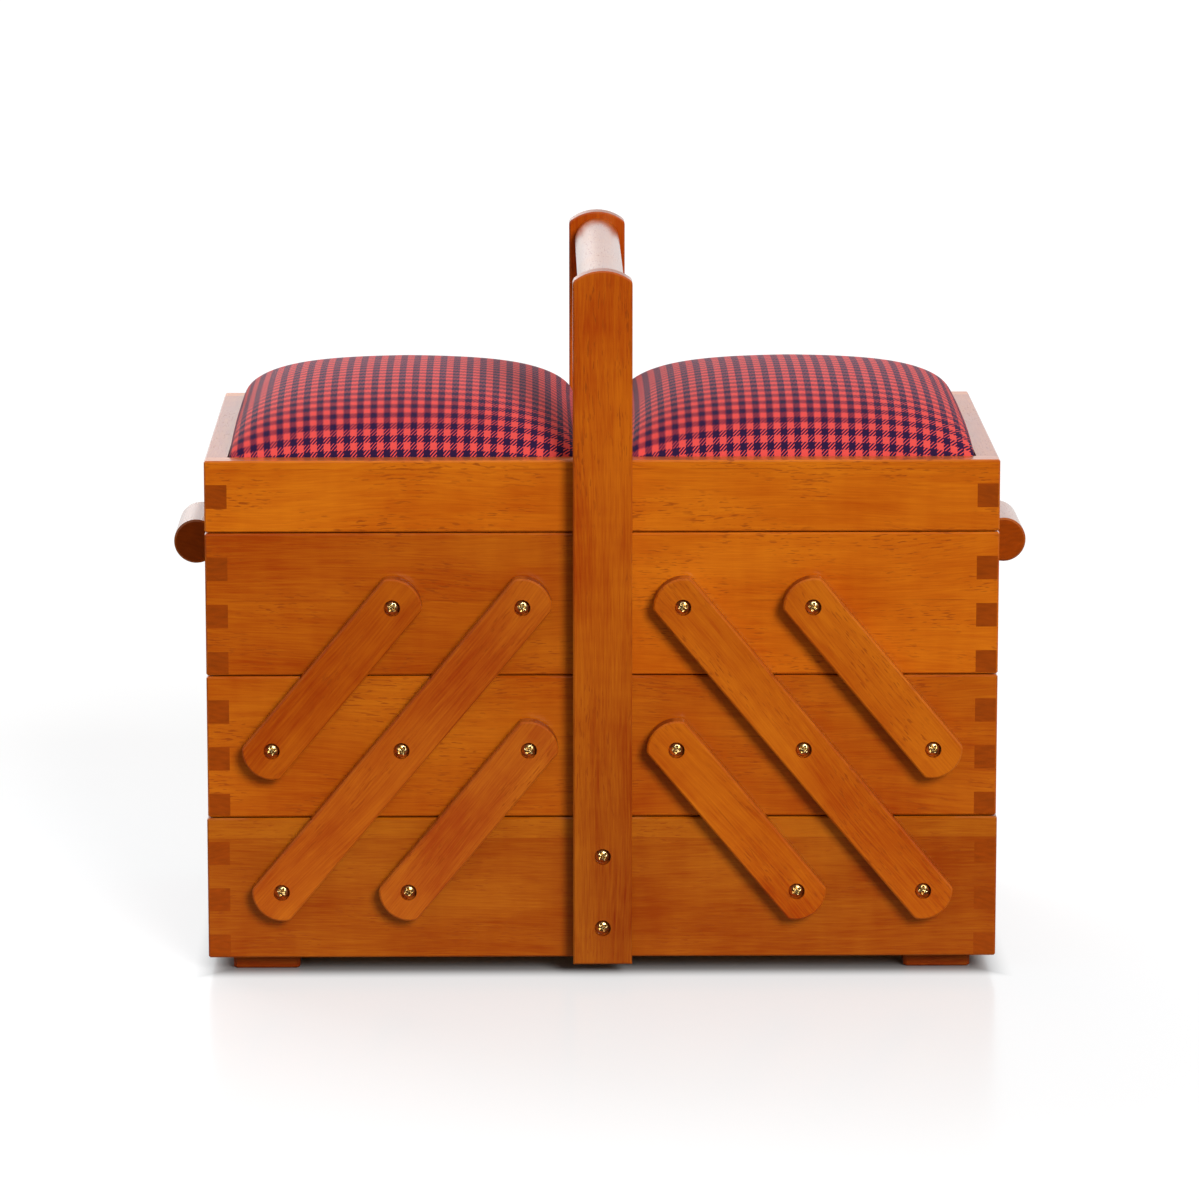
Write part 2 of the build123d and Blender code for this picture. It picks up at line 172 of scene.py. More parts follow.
def make_wood_figure():
    """Grain of one board along X.

    Soft clouds of stain and a cross figure lie under thin streaks and fibres. Dark dashes of open
    pores come in groups. The board is glued up from strips across Y, each with its own tone and a
    thin line at its joint, and the ends of the grain are darker.
    """
    group, shop, given, out = shared_group(
        "wood figure",
        [
            ("Vector", VECTOR, None),
            ("Board", VALUE, 0.0),
            ("End", VALUE, 0.0),
            ("Pale", COLOUR, None),
            ("Deep", COLOUR, None),
            ("End Tone", COLOUR, None),
            ("Strip Width", VALUE, 0.03),
            ("Strip Joint", VALUE, 0.0),
            ("Strip Contrast", VALUE, 0.1),
            ("Polish", VALUE, 0.4),
        ],
        [("Color", COLOUR), ("Roughness", VALUE), ("Height", VALUE)],
    )
    lie = given["Vector"]
    board_steps = {"X": 0.731, "Z": 0.293}  # metres through the figure, from one board to the next
    apart = shop.join(
        **{axis: shop.math("MULTIPLY", given["Board"], step) for axis, step in board_steps.items()}
    )
    place = shop.node("ShaderNodeVectorMath", {0: lie, 1: apart}, operation="ADD").outputs[0]
    wander = shop.noise(shop.stretch(place, 5, 16, 16), 1.0, 1.0)
    bend = shop.join(Y=shop.math("MULTIPLY", wander, 20 * MM))
    bent = shop.node("ShaderNodeVectorMath", {0: place, 1: bend}, operation="ADD").outputs[0]
    layers = (  # noise, and how much of it
        (shop.noise(shop.stretch(place, 12, 26, 26), 1.0, 3.0), 1.6),  # clouds of stain
        (shop.noise(shop.stretch(place, 120, 28, 28), 1.0, 2.0), 0.35),  # cross figure
        (shop.noise(shop.stretch(bent, 14, 260, 260), 1.0, 3.0, 0.6), 0.65),  # streaks
        (shop.noise(shop.stretch(bent, 55, 1250, 1250), 1.0, 2.0, 0.6), 1.1),  # fibres
    )
    clouds, fibre = layers[0][0], layers[3][0]
    across = shop.split(lie)[1]
    along_strips = shop.math(
        "DIVIDE", shop.math("SUBTRACT", across, given["Strip Joint"]), given["Strip Width"]
    )
    strip = shop.math("FLOOR", along_strips)
    tone = shop.node(
        "ShaderNodeTexWhiteNoise",
        {"W": shop.math("MULTIPLY_ADD", given["Board"], 7.0, strip)},
        noise_dimensions="1D",
    ).outputs[0]
    paleness = shop.sway(0.5, tone, given["Strip Contrast"])
    for noise, share in layers:
        paleness = shop.sway(paleness, noise, share)
    paleness = shop.math("MINIMUM", shop.math("MAXIMUM", paleness, 0.0), 1.0)
    face = shop.mix(paleness, given["Deep"], given["Pale"])
    off_joint = shop.math("SUBTRACT", along_strips, shop.math("ROUND", along_strips))
    from_joint = shop.math("MULTIPLY", shop.math("ABSOLUTE", off_joint), given["Strip Width"])
    faded = shop.step(shop.noise(shop.stretch(place, 30, 1, 1), 1.0, 2.0), 0.42, 0.62)
    joint = shop.math("MULTIPLY", shop.step(from_joint, 0.45 * MM, 0.2 * MM), faded)
    pores = shop.noise(shop.stretch(bent, 170, 1250, 1250), 1.0, 1.0)
    grouped = shop.step(shop.noise(shop.stretch(place, 25, 60, 60), 1.0, 2.0), 0.4, 0.62)
    dash = shop.math("MULTIPLY", shop.step(pores, 0.58, 0.68), grouped)
    marks = shop.math(
        "MAXIMUM", shop.math("MULTIPLY", dash, 0.75), shop.math("MULTIPLY", joint, 0.5)
    )
    face = shop.mix(marks, face, given["End Tone"])
    rings = shop.noise(shop.stretch(bent, 400, 700, 160), 1.0, 2.0)
    ring_tone = shop.grey(shop.math("MULTIPLY_ADD", rings, 0.7, 0.65))
    ends = shop.mix(1.0, given["End Tone"], ring_tone, "MULTIPLY")
    shop.feed(out["Color"], shop.mix(given["End"], face, ends))
    rough = shop.sway(given["Polish"], clouds, 0.25)
    rough = shop.math("MULTIPLY_ADD", dash, 0.1, rough)
    shop.feed(out["Roughness"], shop.math("MULTIPLY_ADD", given["End"], 0.06, rough))
    raised = shop.math("MULTIPLY", fibre, 0.6)
    shop.feed(out["Height"], shop.math("SUBTRACT", raised, shop.math("MULTIPLY", marks, 0.5)))
    return group


def make_gingham():
    """Woven check: red and navy bands along both threads, with a twill where the colours cross, and a
    painted shade between the threads.
    """
    group, shop, given, out = shared_group(
        "gingham",
        [
            ("Vector", VECTOR, None),
            ("Red", COLOUR, None),
            ("Navy", COLOUR, None),
            ("Period", VALUE, 6.83 * MM),
            ("Twill", VALUE, 1.8 * MM),
        ],
        [("Color", COLOUR), ("Roughness", VALUE), ("Height", VALUE)],
    )
    axes = shop.split(given["Vector"])

    def band(value):
        """1 on the navy half of each period, with an edge as soft as one thread."""
        turn = shop.math("MULTIPLY", shop.math("DIVIDE", value, given["Period"]), math.tau)
        return shop.step(shop.math("COSINE", turn), -0.14, 0.14)

    def wave(value, period):
        """Rises and falls between 0 and 1 once each period."""
        turn = shop.math("MULTIPLY", shop.math("DIVIDE", value, period), math.tau)
        return shop.math("MULTIPLY_ADD", shop.math("SINE", turn), 0.5, 0.5)

    upright, level = band(axes[0]), band(axes[1])
    diagonal = wave(shop.math("SUBTRACT", axes[0], axes[1]), given["Twill"])
    under = shop.math("MULTIPLY", upright, shop.step(diagonal, 0.92, 0.72))
    over = shop.math("MULTIPLY", level, shop.step(diagonal, 0.3, 0.5))
    both = shop.math("MULTIPLY", upright, level)
    dark = shop.math("MAXIMUM", both, shop.math("MAXIMUM", under, over))
    colour = shop.mix(dark, given["Red"], given["Navy"])
    threads = shop.math("ADD", wave(axes[0], 0.45 * MM), wave(axes[1], 0.45 * MM))
    lint = shop.noise(given["Vector"], 2600.0, 2.0)
    # Painted shade between the threads, darker in each groove, over a random tone of lint.
    thread_shade_and_lint = shop.math("ADD", shop.math("MULTIPLY", threads, 0.1), shop.math("MULTIPLY", lint, 0.5))
    shade = shop.grey(shop.math("MULTIPLY_ADD", thread_shade_and_lint, 0.7, 0.62))
    shop.feed(out["Color"], shop.mix(1.0, colour, shade, "MULTIPLY"))
    shop.feed(out["Roughness"], shop.math("MULTIPLY_ADD", lint, 0.2, 0.72))
    shop.feed(out["Height"], shop.math("ADD", diagonal, shop.math("MULTIPLY", threads, 0.5)))
    return group


def make_handled_brass():
    """Brass with fine scratches, and with a darker patina in soft patches."""
    group, shop, given, out = shared_group(
        "handled brass",
        [("Vector", VECTOR, None), ("Bright", COLOUR, None), ("Dull", COLOUR, None)],
        [("Color", COLOUR), ("Roughness", VALUE), ("Height", VALUE)],
    )
    patch = shop.noise(given["Vector"], 420.0, 3.0)
    scratch = shop.noise(shop.stretch(given["Vector"], 900, 5200, 900), 1.0, 2.0)
    shop.feed(out["Color"], shop.mix(shop.step(patch, 0.4, 0.65), given["Bright"], given["Dull"]))
    rubbed = shop.math("MULTIPLY_ADD", scratch, 0.1, 0.16)
    shop.feed(out["Roughness"], shop.math("MULTIPLY_ADD", patch, 0.22, rubbed))
    shop.feed(out["Height"], scratch)
    return group


wood_figure = make_wood_figure()
gingham = make_gingham()
handled_brass = make_handled_brass()


def new_material(name):
    """An empty material with its Principled shader and the Shop that dresses it."""
    material = bpy.data.materials.new(name)
    material.use_nodes = True
    tree = material.node_tree
    tree.nodes.clear()
    shop = Shop(tree)
    shader = shop.node("ShaderNodeBsdfPrincipled")
    shop.feed(shop.node("ShaderNodeOutputMaterial").inputs["Surface"], shader.outputs[0])
    return material, shop, shader


def dress(shop, shader, group, bump, depth, **inputs):
    """Places a shared group and wires its colour, roughness and relief into the shader."""
    effect = shop.node("ShaderNodeGroup", node_tree=group)
    for name, value in inputs.items():
        shop.feed(effect.inputs[name.replace("_", " ")], value)
    relief = shop.node(
        "ShaderNodeBump", {"Strength": bump, "Distance": depth, "Height": effect.outputs["Height"]}
    )
    shop.feed(shader.inputs["Base Color"], effect.outputs["Color"])
    shop.feed(shader.inputs["Roughness"], effect.outputs["Roughness"])
    shop.feed(shader.inputs["Normal"], relief.outputs[0])


# Which of a board's axes lies along the figure, across its strips and through it
grain_axes = {"x": (0, 2, 1), "y": (1, 2, 0), "z": (2, 0, 1), "flat": (0, 1, 2)}


def wood_material(
    name, grain, number, varnish, strip, joint,
    foot=None, turn=0.0, contrast=0.6, polish=0.4, coat=0.8,
):
    """Varnished wood of one board. The grain runs along an axis, turned about Y by an angle.

    A tall board may be given darker tones at its foot, a painted shade, which fade into its own
    going up. The varnish is thinner on the ends of the grain.
    """
    pale, deep, end = varnish
    material, shop, shader = new_material(name)
    place, facing = (
        shop.split(
            shop.node(
                "ShaderNodeMapping",
                {"Vector": shop.coordinate(source), "Rotation": (0, turn, 0)},
            ).outputs[0]
        )
        for source in ("Object", "Normal")
    )
    order = grain_axes[grain]
    lie = shop.join(**{axis: place[i] for axis, i in zip("XYZ", order)})
    cut = shop.step(shop.math("ABSOLUTE", facing[order[0]]), 0.8, 0.9)
    # Painted shade: the foot's darker tones fade into the board's own up to the post's top.
    if foot:
        high = shop.step(place[2], 0.0, post_top)
        pale, deep = (shop.mix(high, painted_shade_tone, own) for painted_shade_tone, own in zip(foot, (pale, deep)))
    dress(
        shop, shader, wood_figure, 0.25, 0.25 * MM,
        Vector=lie, Board=number, End=cut, Pale=pale, Deep=deep, End_Tone=end,
        Strip_Width=strip, Strip_Joint=joint, Strip_Contrast=contrast, Polish=polish,
    )
    shop.feed(shader.inputs["Coat Weight"], shop.math("MULTIPLY_ADD", cut, -0.6 * coat, coat))
    shader.inputs["Coat Roughness"].default_value = 0.16
    shader.inputs["Specular IOR Level"].default_value = 0.5
    shader.inputs["Specular Tint"].default_value = (1.0, 0.5, 0.12, 1.0)
    return material


def brass_material():
    """Yellow brass of the screws and the hinges."""
    material, shop, shader = new_material("brass")
    dress(
        shop, shader, handled_brass, 0.15, 0.1 * MM,
        Vector=shop.coordinate("Object"), Bright=paint(255, 226, 160), Dull=paint(226, 176, 98),
    )
    shader.inputs["Metallic"].default_value = 1.0
    return material


def fabric_material():
    """Soft cotton, whose check follows the lengths of its threads."""
    material, shop, shader = new_material("checked fabric")
    cloth = shop.node("ShaderNodeUVMap", uv_map="threads").outputs[0]
    dress(
        shop, shader, gingham, 0.35, 0.2 * MM,
        Vector=cloth, Red=paint(240, 82, 76), Navy=paint(44, 14, 62),
    )
    shader.inputs["Sheen Weight"].default_value = 0.12
    shader.inputs["Sheen Roughness"].default_value = 0.4
    shader.inputs["Sheen Tint"].default_value = (1.0, 0.7, 0.75, 1.0)
    shader.inputs["Specular IOR Level"].default_value = 0.2
    return material


brass = brass_material()
checked_fabric = fabric_material()

# ------------------------------------------------------------------ finishes of the boards

end_grain = paint(144, 56, 1)


def stained(red, green, blue, spread=1.0):
    """A varnish: its pale and yellower tone, its deep and redder tone, and its end grain."""
    pale = paint(red + 15 * spread, green + 21 * spread, blue + 6)
    deep = paint(red - 17 * spread, green - 19 * spread, max(blue - 4, 0))
    return pale, deep, end_grain


honey = stained(196, 91, 3)
amber = stained(176, 77, 1)
orange = stained(181, 82, 3)
chestnut = stained(164, 74, 4)
russet = stained(164, 64, 0, 1.1)
sienna = stained(170, 71, 8, 1.1)
tawny = stained(175, 79, 13, 1.1)
ginger = stained(177, 75, 3, 1.2)
handled = stained(184, 77, 0, 1.2)
# Painted shade: darker tones for the foot of each post, fading into its own tone going up.
shaded_foot = stained(150, 62, 4, 1.2)
# Painted shade: the dark tone of the feet, which stand in shadow under the base.
shaded = stained(140, 58, 8)
plywood = (*stained(206, 146, 84, 0.6)[:2], paint(170, 112, 62))

# Tone of each tier's boards, lightest on the lid and darkest on the base, and of the tiers that have
# their own on one side
tier_tones = {
    "lid": honey,
    "top": amber,
    "right_top": honey,
    "middle": amber,
    "left_middle": orange,
    "base": chestnut,
}
arm_varnishes = {"left_upper_arms": russet, "left_long_arms": sienna, "left_lower_arms": tawny}

# Which draw of grain and strips each front board is cut from
front_draws = {"base": 56, "left_top": 7, "left_middle": 5, "right_top": 30, "right_middle": 71}

# Height of the glued joint in each tier's boards
glued_joints = {"lid": 258.0 * MM, "top": 191.5 * MM, "middle": 122.0 * MM, "base": 70.0 * MM}
board_strip = 41.0 * MM
base_strip = 80.0 * MM

# Pieces that aren't glued up from strips get strips wider than they are
one_strip = {"strip": 200.0 * MM, "joint": 100.0 * MM}
plywood_sheet = {"strip": 500.0 * MM, "joint": 300.0 * MM}


def board_finish(name, number):
    """Varnish and grain of one wooden CAD node, by what it is."""
    side = "right" if name.startswith("right") else "left"
    tier = next((t for t in glued_joints if t in name), "base")
    if name.endswith("_arms"):
        kind = {"varnish": arm_varnishes.get(name, ginger), "turn": lean if side == "left" else -lean}
        return wood_material(
            name, "x", number, contrast=0.2, polish=0.42, coat=0.5, **kind, **one_strip
        )
    if name.endswith(("_bottom", "_panel")):
        return wood_material(name, "flat", number, plywood, polish=0.55, coat=0.0, **plywood_sheet)
    if name.endswith("_post"):
        return wood_material(name, "z", number, handled, foot=shaded_foot, contrast=0.2, **one_strip)
    if name.endswith("_pull") or name == "handle_bar":
        return wood_material(
            name, "y", number, chestnut, contrast=0.2, polish=0.32, coat=0.85, **one_strip
        )
    # The feet's dark tone is painted shade.
    if name == "feet":
        return wood_material(name, "x", number, shaded, coat=0.3, **one_strip)
    grain = "x" if "front" in name or "back" in name else "y"
    varnish = tier_tones.get(f"{side}_{tier}", tier_tones[tier])
    if name.endswith("lid_outer_rail"):
        varnish = amber
    strip = base_strip if tier == "base" else board_strip
    number = front_draws.get(name.removesuffix("_front_board"), number)
    return wood_material(name, grain, number, varnish, strip=strip, joint=glued_joints[tier])


for number, (name, node) in enumerate(sorted(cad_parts.items())):
    if not name.endswith("_cushion"):
        metal = name.endswith(("_screws", "_hinges"))
        node.data.materials.clear()
        node.data.materials.append(brass if metal else board_finish(name, number))

# -------------------------------------------------------------------------- mesh helpers


def grid_faces(rows, columns, wrap=False):
    """Quads between neighbouring points of a grid; wrap joins its last column to its first."""
    here = np.arange(rows * columns).reshape(rows, columns)
    if wrap:
        here = np.hstack([here, here[:, :1]])
    corners = [here[:-1, :-1], here[:-1, 1:], here[1:, 1:], here[1:, :-1]]
    return np.stack(corners, axis=-1).reshape(-1, 4)


def mesh_piece(name, points, faces, material):
    """A smooth mesh object at the origin, with its place in its points."""
    mesh = bpy.data.meshes.new(name)
    mesh.from_pydata(np.asarray(points, float).tolist(), [], faces)
    mesh.polygons.foreach_set("use_smooth", np.ones(len(mesh.polygons), bool))
    mesh.materials.append(material)
    mesh.update()
    piece = bpy.data.objects.new(name, mesh)
    scene.collection.objects.link(piece)
    return piece


def smoothstep(value, low, high):
    """0 below low, 1 above high, and a cubic ease between them."""
    t = np.clip((value - low) / (high - low), 0, 1)
    return t * t * (3 - 2 * t)


# ---------------------------------------------------------------------------------- screws


# Sizes of the screws and their places along a board, in mm
thread_pitch = 1.1
thread_depth = 0.2  # as a share of the shank's radius
screw_bite = 8.0  # of a pivot screw in its board
post_screw, pull_screw, hinge_screw = 16.2, 16.8, 10.0
post_screw_heights = (26.1, 62.9)
pull_screw_places = (-15, 15)
hinge_screw_places = (-51.5, -38.5, 38.5, 51.5)

# The pressed cross is full depth up to the first share of the head's radius and ends at the second
cross_width = (0.083, 0.172)
cross_reach = (0.417, 0.64)


def screw_points(length, head_radius=3.6, head_height=2.4, shank=1.75, slot=1.0, around=48):
    """One cross-head screw along Z with its seat at z = 0, as rings of points in mm.

    The outline is turned about Z: a domed head, its flat underside, then a shank whose radius
    rises and falls as a helix, one pitch a turn, and runs out to a point. Inside the dome a
    cross is pressed in: where a point is near either of two crossing lines it is lowered, less
    so towards the ends of the cross.
    """
    dome = np.linspace(0.02, 1, 18) * math.pi / 2
    head = np.stack([head_radius * np.sin(dome), head_height * np.cos(dome) ** 0.9], 1)
    under = np.array([[head_radius - 0.1, 0.0], [shank + 0.15, 0.0]])
    down = np.linspace(0, length - 2.5, 44)
    body = np.stack([np.full(len(down), shank), -0.02 - down], 1)
    tip = np.array([[0.74 * shank, 1.7 - length], [0.4 * shank, 0.8 - length], [0.02, -length]])
    outline = np.vstack([head, under, body, tip])
    angle = np.arange(around) * math.tau / around
    radius = np.repeat(outline[:, :1], around, 1)
    height = np.repeat(outline[:, 1:], around, 1)
    thread = 0.5 + 0.5 * np.cos(angle[None] - height * math.tau / thread_pitch)
    on_shank = (height < -1.5) & (height > -length + 2.0)
    radius = np.where(on_shank, radius - thread_depth * shank * thread, radius)
    x, y = radius * np.cos(angle), radius * np.sin(angle)

    def within(distance, full, end):
        return smoothstep(-distance / head_radius, -end, -full)

    across, along = np.abs(x), np.abs(y)
    cross = np.maximum(
        within(across, *cross_width) * within(along, *cross_reach),
        within(along, *cross_width) * within(across, *cross_reach),
    )
    height = np.where(height > head_height / 8, height - slot * cross, height)
    return np.stack([x, y, height], -1)


def make_screws(name, body, places, node=None, **shape):
    """Screws at (point, outward direction, length in mm, turn) places, in one piece."""
    points, faces = [], []
    for start, outward, length, turn in places:
        rings = screw_points(length, **shape)
        rows, columns = rings.shape[:2]
        flat = rings.reshape(-1, 3) * MM
        c, s = math.cos(turn), math.sin(turn)
        spin = np.array([[c, -s, 0], [s, c, 0], [0, 0, 1]])
        outward = np.array(outward, float)
        side = np.cross((0, 1, 0) if outward[2] else (0, 0, 1), outward)
        basis = np.stack([side, np.cross(outward, side), outward], 1)
        base = sum(len(p) for p in points)
        ends = [flat[:columns].mean(0), flat[-columns:].mean(0)]
        flat = np.vstack([flat, ends])
        points.append(flat @ spin.T @ basis.T + np.array(start))
        faces += (grid_faces(rows, columns, True)[:, ::-1] + base).tolist()

        # Triangles from the first and the last ring to the points in their middles
        ring = np.arange(columns)
        following = (ring + 1) % columns
        last = (rows - 1) * columns
        middle = np.full(columns, rows * columns)
        caps = [[ring, following, middle], [last + following, last + ring, middle + 1]]
        faces += (np.hstack(caps).T + base).tolist()
    piece = mesh_piece(name, np.vstack(points), faces, brass)
    if node:
        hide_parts(node)
    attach(piece, body)


def pivot_places(xs, height, board_face, start_turn):
    """Screws through the arms at these x, on the front and the back, each turned its own way."""
    length = (pivot_seat - board_face) / MM + screw_bite
    return [
        ((x, face * pivot_seat, height), (0, face, 0), length, start_turn + 1.9 * i + 0.7 * face)
        for i, x in enumerate(xs)
        for face in (-1, 1)
    ]


def make_base_screws():
    """Lowest pivots of the long and the lower short arms, and two screws in each post."""
    pivots = (-long_pivot, long_pivot, -lower_pivot, lower_pivot)
    places = pivot_places(pivots, pivot_heights[0], base_face, 0.3)
    places += [
        ((0, face * post_seat, z * MM), (0, face, 0), post_screw, 0.9 * z + face)
        for z in post_screw_heights
        for face in (-1, 1)
    ]
    make_screws("pivot_and_post_screws", "base", places, "base_screws")


def make_tray_screws(sign, side):
    """Pivots of one side's middle and top trays, and the screws of its pull."""
    pivots = [sign * x for x in (upper_pivot, long_pivot - link_run, lower_pivot - link_run)]
    places = pivot_places(pivots, pivot_heights[1], tray_face, 0.5 + sign)
    make_screws(
        f"{side}_middle_pivot_screws", f"{side}_middle_tray", places, f"{side}_middle_screws"
    )
    pivots = [sign * x for x in (upper_pivot - link_run, long_pivot - 2 * link_run)]
    places = pivot_places(pivots, pivot_heights[2], tray_face, 1.1 + sign)
    places += [
        ((sign * pull_seat, y * MM, pull_height), (-sign, 0, 0), pull_screw, 0.4 * y)
        for y in pull_screw_places
    ]
    make_screws(f"{side}_top_pivot_screws", f"{side}_top_tray", places, f"{side}_top_screws")


def make_hinge_screws(sign, side, leaf, body, face, up):
    """Flat screws of one side's lower or upper leaves, two in each leaf."""
    places = [
        ((sign * leaf_middle, y * MM, face), (0, 0, up), hinge_screw, 0.35 * y + up)
        for y in hinge_screw_places
    ]
    make_screws(
        f"{side}_{leaf}_hinge_screws", f"{side}_{body}", places,
        head_radius=2.3, head_height=0.28, shank=1.2, slot=0.25,
    )


make_base_screws()
for sign, side in ((-1, "left"), (1, "right")):
    make_tray_screws(sign, side)
    make_hinge_screws(sign, side, "lower", "top_tray", tray_leaf, 1)
    make_hinge_screws(sign, side, "upper", "lid", lid_leaf, -1)

# -------------------------------------------------------------------------------- cushions

cushion_half_x = 87.2 * MM
cushion_half_y = 98.5 * MM
corner_round = 3.0 * MM
cloth_stretch = {"left": 0.2, "right": 0.05}  # how far the threads' lengths are evened out
row_draw = 0.9
rim_slope = math.radians(84)
rim_tuck = 0.2 * MM  # the wall leans in from the frame by this
rim_gap = 0.3 * MM  # between the swollen cloth and the frame
held_height = 1 * MM  # cloth below this height above the frame's top is held by the frame

# Height of the steep wall, and the length of cloth over which the slope dies away
across_section = (10.0 * MM, 23.0 * MM)
along_section = (0.0, 24.6 * MM)

navy_row = {"left": 1.8 * MM, "right": 5.2 * MM}
navy_column = {"left": 1.4 * MM, "right": 1.5 * MM}


def edge_section(half, wall, decay, count):
    """Section of the padding from one rim over its crown to the other, at even arc steps.

    It goes up inside the frame, then up a steep wall. From there its slope dies away
    exponentially along the cloth. Returns how far out each point is, and how far above the frame.
    """
    t = np.linspace(0, 1, 40)[:-1]
    hidden = np.stack([half - rim_tuck * t, (cushion_seat - frame_top) * (1 - t)], 1)
    along = np.linspace(0, 2 * half, 4000)
    slope = rim_slope * np.exp(-np.maximum(along - wall, 0) / decay)
    step = along[1]
    out = half - rim_tuck - np.cumsum(np.cos(slope)) * step
    high = np.cumsum(np.sin(slope)) * step
    curve = np.vstack([hidden, np.stack([out, high], 1)[out > 0], [0, high[out > 0][-1]]])
    length = np.concatenate([[0], np.cumsum(np.hypot(*np.diff(curve, axis=0).T))])
    even = np.linspace(0, length[-1], count // 2 + 1)
    out = np.interp(even, length, curve[:, 0])
    high = np.interp(even, length, curve[:, 1])
    return np.concatenate([-out, out[:-1][::-1]]), np.concatenate([high, high[:-1][::-1]])


def cushion_points(centre, columns=72, rows=80):
    """Top of the padding over its plan.

    Above the frame its height is one edge section times the other as a share of its crown, so it
    drops at the corners. In the corners of the plan the square of points is drawn into a
    quarter disc.
    """
    x, rise_x = edge_section(cushion_half_x, *across_section, columns)
    y, rise_y = edge_section(cushion_half_y, *along_section, rows)
    x, y = np.meshgrid(x, y)
    rise_x, rise_y = np.meshgrid(rise_x, rise_y)
    lower = np.minimum(rise_x, rise_y)
    height = np.where(lower < 0, lower, rise_x / rise_x.max() * rise_y)
    dx = np.clip((np.abs(x) - cushion_half_x + corner_round) / corner_round, 0, 1)
    dy = np.clip((np.abs(y) - cushion_half_y + corner_round) / corner_round, 0, 1)
    x = x - np.sign(x) * corner_round * dx * (1 - np.sqrt(1 - dy**2 / 2))
    y = y - np.sign(y) * corner_round * dy * (1 - np.sqrt(1 - dx**2 / 2))
    return np.stack([x + centre, y, frame_top + height], -1)


def run_length(points):
    """Length of cloth from the middle of each row of points to each of its points."""
    steps = np.linalg.norm(np.diff(points, axis=1), axis=2)
    length = np.concatenate([np.zeros((len(points), 1)), steps], 1).cumsum(1)
    middle = points.shape[1] // 2
    return length - length[:, middle : middle + 1]


def thread_lengths(top, side):
    """Place of each point on the cloth, along both threads.

    It is the length of cloth from the middle, stretched part of the way to what the middle
    thread has, because the cover is drawn tight over the corners.
    """
    lengths = []
    for run in (run_length(top), run_length(top.transpose(1, 0, 2))):
        half = run.shape[1] // 2
        full = np.where(run > 0, run[:, -1:], -run[:, :1])
        longest = np.where(run > 0, run[len(run) // 2, -1], -run[len(run) // 2, 0])
        lengths.append(run * (1 + cloth_stretch[side] * (longest / full - 1)))
    across, along = lengths[0], lengths[1].T
    front = slice(None, top.shape[0] // 2)
    column = top.shape[1] // 2
    first_row = np.interp(frame_top + navy_row[side], top[front, column, 2], along[front, column])
    return np.stack([across + navy_column[side], (along - first_row) * row_draw], -1)


def stuffed(piece, held, pressure=4.0, frames=20, cap=1.2 * MM, cap_fade=8 * MM):
    """Points of the cloth when pressure has swollen it, each within a cap of where it was.

    The cap goes down to nothing at the frame, where the cloth is tucked in.
    """
    group = piece.vertex_groups.new(name="held")
    group.add(held.tolist(), 1.0, "REPLACE")
    cloth = piece.modifiers.new("stuffing", "CLOTH")
    cloth.settings.use_pressure = True
    cloth.settings.uniform_pressure_force = pressure
    cloth.settings.vertex_group_mass = "held"
    cloth.settings.effector_weights.gravity = 0
    cloth.settings.quality = 6
    for number in range(1, frames + 1):
        scene.frame_set(number)
    swollen = piece.evaluated_get(bpy.context.evaluated_depsgraph_get()).to_mesh()
    now = np.empty(len(swollen.vertices) * 3)
    swollen.vertices.foreach_get("co", now)
    was = np.empty_like(now)
    piece.data.vertices.foreach_get("co", was)
    piece.modifiers.clear()
    now, was = now.reshape(-1, 3), was.reshape(-1, 3)
    moved = now - was
    size = np.linalg.norm(moved, axis=1, keepdims=True)
    caps = cap * smoothstep(was[:, 2:] - frame_top, 0, cap_fade)
    scene.frame_set(1)
    return was + moved * np.minimum(1, caps / np.maximum(size, 1e-9))


def make_cushion(sign, side):
    """Padded top of a lid: a cloth cover over the crowned padding, closed by a flat underside."""
    centre = sign * half_centre

    # The underside shares the rim of the top, and has points of its own inside it
    top = cushion_points(centre)
    rows, columns = top.shape[:2]
    threads = thread_lengths(top, side)
    bottom = top.copy()
    bottom[..., 2] = cushion_seat
    inside = np.zeros((rows, columns), bool)
    inside[1:-1, 1:-1] = True
    under = np.arange(rows * columns).reshape(rows, columns)
    under[inside] = rows * columns + np.arange(inside.sum())
    points = np.vstack([top.reshape(-1, 3), bottom[inside]])
    upper_faces = grid_faces(rows, columns)
    lower_faces = under.ravel()[upper_faces][:, ::-1]
    faces = np.vstack([upper_faces, lower_faces])
    piece = mesh_piece(f"{side}_padded_top", points, faces.tolist(), checked_fabric)
    layer = piece.data.uv_layers.new(name="threads")
    flat = np.zeros((len(points), 2))
    flat[: rows * columns] = threads.reshape(-1, 2)
    flat[rows * columns :] = bottom[inside][:, :2] - [centre, 0]
    corner = np.empty(len(piece.data.loops), int)
    piece.data.loops.foreach_get("vertex_index", corner)
    layer.data.foreach_set("uv", flat[corner].ravel())
    now = stuffed(piece, np.flatnonzero(points[:, 2] < frame_top + held_height))
    low = now[:, 2] < frame_top + held_height
    for axis, middle, half in ((0, centre, frame_inside_x), (1, 0.0, frame_inside_y)):
        room = half - rim_gap
        now[low, axis] = middle + np.clip(now[low, axis] - middle, -room, room)
    now[:, 2] = np.maximum(now[:, 2], cushion_seat)
    piece.data.vertices.foreach_set("co", now.ravel())
    piece.data.update()
    rounder = piece.modifiers.new("rounding", "SUBSURF")
    rounder.levels = rounder.render_levels = 1
    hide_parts(f"{side}_cushion")
    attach(piece, f"{side}_lid")


for sign, side in ((-1, "left"), (1, "right")):
    make_cushion(sign, side)

# --------------------------------------------------------------------------- floor and light


# Halves of the base. The floor's mirror and its painted shadow go by the distance outside it.
base_half_x = 198.5 * MM
base_half_y = 110.5 * MM

floor_size = 14.0
floor_level = -0.2 * MM
floor_tone = 0.36  # that the camera sees, and to which the glow is added
floor_glow = 0.7
floor_mirror = 0.165
floor_bounce = 0.69
floor_in_gloss = 0.9
world_light = 0.5


